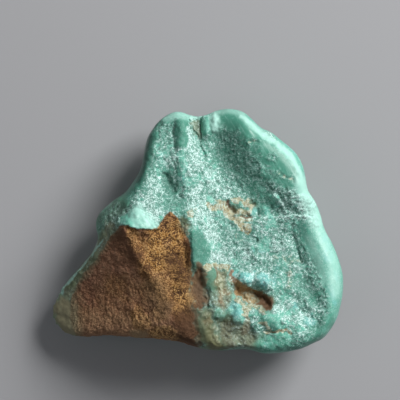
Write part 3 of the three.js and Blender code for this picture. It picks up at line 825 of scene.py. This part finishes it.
def keep_inside(mesh, box):
    """Draws the points in to the solid's box, and flattens the ones below its rest."""
    points, _ = read_points(mesh)
    low = np.array(box[0]) / MM
    high = np.array(box[1]) / MM
    for axis in range(2):
        reach = max(points[:, axis].max() / high[axis], points[:, axis].min() / low[axis], 1.0)
        points[:, axis] /= reach
    points[:, 2] = np.clip(points[:, 2], low[2], None)
    top = points[:, 2].max()
    if top > high[2]:
        points[:, 2] *= high[2] / top
    write_points(mesh, points)


# ---------------------------------------------------------------------------------------------
# Materials.


class Signal:
    """A number that varies over a surface. Sums with it add Math nodes."""

    def __init__(self, shader, socket):
        self.shader = shader
        self.socket = socket

    def maths(self, operation, *values):
        return self.shader.node("ShaderNodeMath", {"operation": operation}, dict(enumerate(values)))

    def __add__(self, other):
        return self.maths("ADD", self, other)

    __radd__ = __add__

    def __sub__(self, other):
        return self.maths("SUBTRACT", self, other)

    def __rsub__(self, other):
        return self.maths("SUBTRACT", other, self)

    def __mul__(self, other):
        return self.maths("MULTIPLY", self, other)

    __rmul__ = __mul__

    def size(self):
        return self.maths("ABSOLUTE", self)

    def clamped(self):
        return self.shader.node("ShaderNodeClamp", {}, {0: self})


class Shader:
    """A material built node by node."""

    def __init__(self, name):
        self.material = bpy.data.materials.new(name)
        self.material.use_nodes = True
        self.tree = self.material.node_tree
        self.surface = self.tree.nodes["Principled BSDF"]
        self.place = self.node("ShaderNodeTexCoord", {}, {}, "Object")

    def node(self, kind, settings, inputs, output=0):
        """Adds a node of this type: its settings are set first, then its sockets."""
        node = self.tree.nodes.new(kind)
        for name, value in settings.items():
            setattr(node, name, value)
        for name, value in inputs.items():
            self.feed(node.inputs[name], value)
        return Signal(self, node.outputs[output])

    def feed(self, socket, value):
        if isinstance(value, Signal):
            self.tree.links.new(value.socket, socket)
        elif hasattr(value, "__len__") and len(value) == 3 and socket.type == "RGBA":
            socket.default_value = (*value, 1.0)
        else:
            socket.default_value = value

    def attribute(self, name):
        return self.node("ShaderNodeAttribute", {"attribute_name": name}, {}, "Fac")

    def noise(self, size, detail=3.0, rough=0.55, where=None):
        """Noise from 0 to 1 with lumps of this size in millimetres."""
        return self.node("ShaderNodeTexNoise", {}, {
            "Vector": where or self.place, "Scale": 1.0 / (size * MM), "Detail": detail,
            "Roughness": rough}, "Fac")

    def step(self, value, low, high):
        """0 below one level, 1 above another, and a smooth climb between them."""
        return self.node("ShaderNodeMapRange", {"interpolation_type": "SMOOTHSTEP"}, {
            "Value": value, "From Min": low, "From Max": high})

    def mix(self, share, first, second):
        """A colour between two colours."""
        return self.node("ShaderNodeMix", {"data_type": "RGBA"}, {
            0: share, 6: first, 7: second}, 2)

    def finish(self, **inputs):
        for name, value in inputs.items():
            self.feed(self.surface.inputs[name.replace("_", " ")], value)
        return self.material


def stone_material(settings):
    """Sound turquoise in patches, the sugary ground between them, crusts and brown matrix, with
    painted shade and painted highlights in the colour.
    """
    shader = Shader("turquoise_and_matrix")
    brown, rind, patch = map(shader.attribute, ("brown", "rind", "patch"))
    crust, olive, frost = map(shader.attribute, ("crust", "olive", "frost"))
    blue, green, worn = map(shader.attribute, ("blue", "green", "worn"))
    gold, red, pit = map(shader.attribute, ("gold", "red", "pit"))
    painted_shade, light = map(shader.attribute, ("painted_shade", "light"))
    grain, grit = map(shader.attribute, ("grain", "grit"))
    speckle = shader.noise(0.2, 3.0, 0.65)
    crumb = shader.noise(0.21, 2.0, 0.6)
    clump = shader.noise(0.8, 3.0)
    cloud = shader.noise(2.6, 3.0)
    streak = shader.noise(0.35, 2.0, 0.5, shader.node(
        "ShaderNodeMapping", {"vector_type": "TEXTURE"},
        {"Vector": shader.place, "Rotation": (0.0, 0.0, math.radians(-62.0)),
         "Scale": (9.0, 1.0, 3.0)}))

    # Sound stone in blue, green and pale clouds, the sugary ground with painted shade in its gaps,
    # olive and crusts. The green strokes add painted shade where the stone turns from the key
    # light.
    sound = shader.mix(shader.step(cloud + blue * 0.5 - green * 0.3, 0.5, 0.8),
                       settings.turquoise, settings.blue)
    # Greener clouds, and painted shade where the green strokes lie.
    sound = shader.mix(shader.step(shader.noise(1.5) + green * 0.45, 0.5, 0.85) * 0.85,
                       sound, settings.green)
    sound = shader.mix(shader.step(clump, 0.45, 0.75) * (0.55 - green * 0.5 - rind * 0.2),
                       sound, settings.mint)
    sound = shader.mix(rind * shader.step(streak, 0.5, 0.75) * 0.22, sound, settings.pale)
    # Painted shade in the gaps: darker where the grain and bump are low.
    gap_shade = shader.step(speckle * 0.6 + grain * 0.5 + clump * 0.4, 0.5, 1.05)
    sugary = shader.mix(gap_shade, settings.deep, settings.ground)
    sugary = shader.mix(green * 0.4, sugary, settings.green)
    ground = shader.mix(shader.step(rind + patch * 1.1 + clump * 0.4, 0.25, 1.1), sugary, sound)
    ground = shader.mix(olive, ground, shader.mix(green, settings.olive, settings.moss))
    dusty = shader.mix(shader.step(clump * 0.6 + speckle * 0.6 + grain * 0.3, 0.55, 0.95),
                       settings.straw, settings.cream)
    crusted = shader.step(crust + clump * 0.8 + grain * 0.5, 0.95, 1.6)
    crusted = crusted * shader.step(crust, 0.0, 0.3)
    ground = shader.mix(crusted * 0.9, ground, dusty)

    # White dust, dots and fine veins over it, thinner where the stone is bare. The dust and dots
    # gather on the crests of the grain and bump: partly white dust, partly a painted highlight.
    bare = rind * 0.7 + patch * 0.45 + green * 0.55 + olive * 0.9 + crust * 0.4
    dense = shader.step(grain * 0.35 + (clump + cloud) * 1.6 + frost * 0.5 - bare, 1.58, 2.5)
    dust = dense * (0.12 + 0.88 * shader.step(speckle, 0.42, 0.61))
    dots = shader.step(speckle + grain * 0.2, 0.63, 0.77) * (0.7 - bare * 0.55)
    winding = shader.noise(1.0, 4.0, 0.6) - 0.5
    veins = shader.step(winding.size(), 0.02, 0.004) * (0.5 - bare * 0.4)
    turquoise = shader.mix((dust + dots + veins).clamped(), ground, settings.frost)
    # Worn, paler crests, and a painted highlight along the rims and the wedge.
    turquoise = shader.mix(worn, turquoise, settings.pale)
    # Painted shade on the turquoise.
    turquoise = shader.mix(painted_shade * 0.7, turquoise, settings.shade)

    # Brown matrix: films, rust, olive, paler parts with painted light, painted shade, painted shade
    # in the hollows of the grit, and lit crests with a painted highlight.
    veiled = shader.mix(shader.step(shader.noise(1.1, 5.0, 0.75), 0.5, 0.68) * 0.6,
                        settings.umber, settings.haze)
    earth = shader.mix(gold, veiled, settings.brown)
    earth = shader.mix(shader.step(cloud + red * 0.5 - pit, 0.5, 0.8) * 0.7, earth, settings.rust)
    earth = shader.mix(olive, earth, shader.mix(green, settings.olive, settings.moss))
    pale_earth = shader.mix(gold, settings.haze, settings.tan)
    # Paler brown, and painted light on the bottom edge, the pocket and the tip.
    earth = shader.mix(light * 0.65, earth, pale_earth)
    # Painted shade on the brown.
    earth = shader.mix(painted_shade * 0.9, earth, settings.chocolate)
    grainy = 1.0 - olive * 0.75
    # Painted shade in the hollows of the grit.
    hollow_shade = shader.step(grit * 0.35 + crumb * 1.2, 0.86, 0.64) * (0.4 + gold * 0.6) * grainy
    earth = shader.mix(hollow_shade, earth, settings.chocolate)
    # Painted highlight on the grit's crests, strongest on the golden face and left out under
    # painted shade.
    crests = shader.step(grit * 0.2 + crumb * 1.1 + clump * 0.2, 0.74, 0.88)
    earth = shader.mix(crests * (0.3 + gold * 0.7 - painted_shade * 0.8) * grainy, earth, pale_earth)
    colour = shader.mix(shader.step(brown + pit - crusted * 0.6, 0.0, 0.8), turquoise, earth)

    roughness = 0.74 - 0.26 * rind - 0.15 * patch + 0.15 * brown
    bump = shader.node("ShaderNodeBump", {}, {
        "Strength": 0.9, "Distance": 0.12 * MM,
        "Height": (speckle + brown * crumb * 2.0) * (1.0 - rind * 0.9) * (1.0 - patch * 0.5)})
    return shader.finish(Base_Color=colour, Roughness=roughness, Normal=bump,
                         Specular_IOR_Level=0.35, Coat_Weight=rind * 0.2, Coat_Roughness=0.35)


def plain_material(name, colour, roughness):
    return Shader(name).finish(Base_Color=colour, Roughness=roughness)


# ---------------------------------------------------------------------------------------------
# The operators and the panel.


class NUGGET_OT_stone(bpy.types.Operator):
    """Model the stone around its solid"""

    bl_idname = "nugget.stone"
    bl_label = "Stone"

    def execute(self, context):
        settings = context.scene.nugget_stone
        stone = even_stone(settings)
        carve(stone.data, settings)
        keep_inside(stone.data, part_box(NODE))
        bpy.ops.object.shade_smooth()
        stone.data.materials.append(stone_material(settings))
        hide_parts(NODE)
        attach(stone, "root")
        return {"FINISHED"}


class NUGGET_OT_studio(bpy.types.Operator):
    """Add the floor, the lights and the camera"""

    bl_idname = "nugget.studio"
    bl_label = "Studio"

    def execute(self, context):
        settings = context.scene.nugget_studio
        add_floor(settings)
        add_lights(context, settings)
        add_camera(context, settings)
        return {"FINISHED"}


def add_floor(settings):
    bpy.ops.object.select_all(action="DESELECT")
    bpy.ops.mesh.primitive_plane_add(size=settings.floor_size)
    floor = bpy.context.object
    floor.name = "floor"
    floor.data.materials.append(plain_material("pale_floor", settings.floor_colour, 0.9))


def add_lamp(name, place, size, power):
    """A square lamp that shines at the origin."""
    bpy.ops.object.light_add(type="AREA", location=place)
    lamp = bpy.context.object
    lamp.name = name
    lamp.data.size = size
    lamp.data.energy = power
    lamp.rotation_euler = Vector(place).to_track_quat("Z", "Y").to_euler()


def add_lights(context, settings):
    """The key shines from the upper right, the fill is weak and comes from the left."""
    turn = math.radians(settings.key_turn)
    height = math.radians(settings.key_height)
    key = Vector((math.cos(turn) * math.cos(height), math.sin(turn) * math.cos(height),
                  math.sin(height)))
    add_lamp("key", key * KEY_DISTANCE, settings.key_size, settings.key_power)
    add_lamp("fill", FILL_PLACE, FILL_SIZE, settings.fill_power)
    world = bpy.data.worlds.new("studio")
    world.use_nodes = True
    background = world.node_tree.nodes["Background"]
    background.inputs["Color"].default_value = SKY_COLOUR
    background.inputs["Strength"].default_value = settings.sky
    context.scene.world = world
    context.scene.view_settings.view_transform = "Standard"


def add_camera(context, settings):
    """Looks straight down on the stone, with a little more room above it than below."""
    low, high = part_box(NODE)
    waist = high.z * WAIST
    bpy.ops.object.camera_add()
    camera = bpy.context.object
    camera.data.lens = settings.lens
    away = settings.view_width * settings.lens / camera.data.sensor_width
    camera.location = ((low.x + high.x) / 2 + VIEW_SHIFT[0],
                       (low.y + high.y) / 2 + VIEW_SHIFT[1], waist + away)
    camera.rotation_euler = (0.0, 0.0, 0.0)
    camera.data.clip_start = CLIP_START
    camera.data.clip_end = CLIP_END
    context.scene.camera = camera


class NUGGET_PT_panel(bpy.types.Panel):
    """The stone's settings and its steps"""

    bl_label = "Raw Turquoise Nugget"
    bl_idname = "NUGGET_PT_panel"
    bl_space_type = "VIEW_3D"
    bl_region_type = "UI"
    bl_category = "Nugget"

    def draw(self, context):
        layout = self.layout
        for operator, group in ((NUGGET_OT_stone, context.scene.nugget_stone),
                                (NUGGET_OT_studio, context.scene.nugget_studio)):
            layout.operator(operator.bl_idname)
            for name in group.bl_rna.properties.keys():
                if name not in ("rna_type", "name"):
                    layout.prop(group, name)


CLASSES = (StoneSettings, StudioSettings, NUGGET_OT_stone, NUGGET_OT_studio, NUGGET_PT_panel)


def register():
    for kind in CLASSES:
        bpy.utils.register_class(kind)
    bpy.types.Scene.nugget_stone = PointerProperty(type=StoneSettings)
    bpy.types.Scene.nugget_studio = PointerProperty(type=StudioSettings)


def unregister():
    del bpy.types.Scene.nugget_studio
    del bpy.types.Scene.nugget_stone
    for kind in reversed(CLASSES):
        bpy.utils.unregister_class(kind)


def main():
    register()
    bpy.ops.nugget.stone()
    bpy.ops.nugget.studio()


if __name__ == "__main__":
    main()
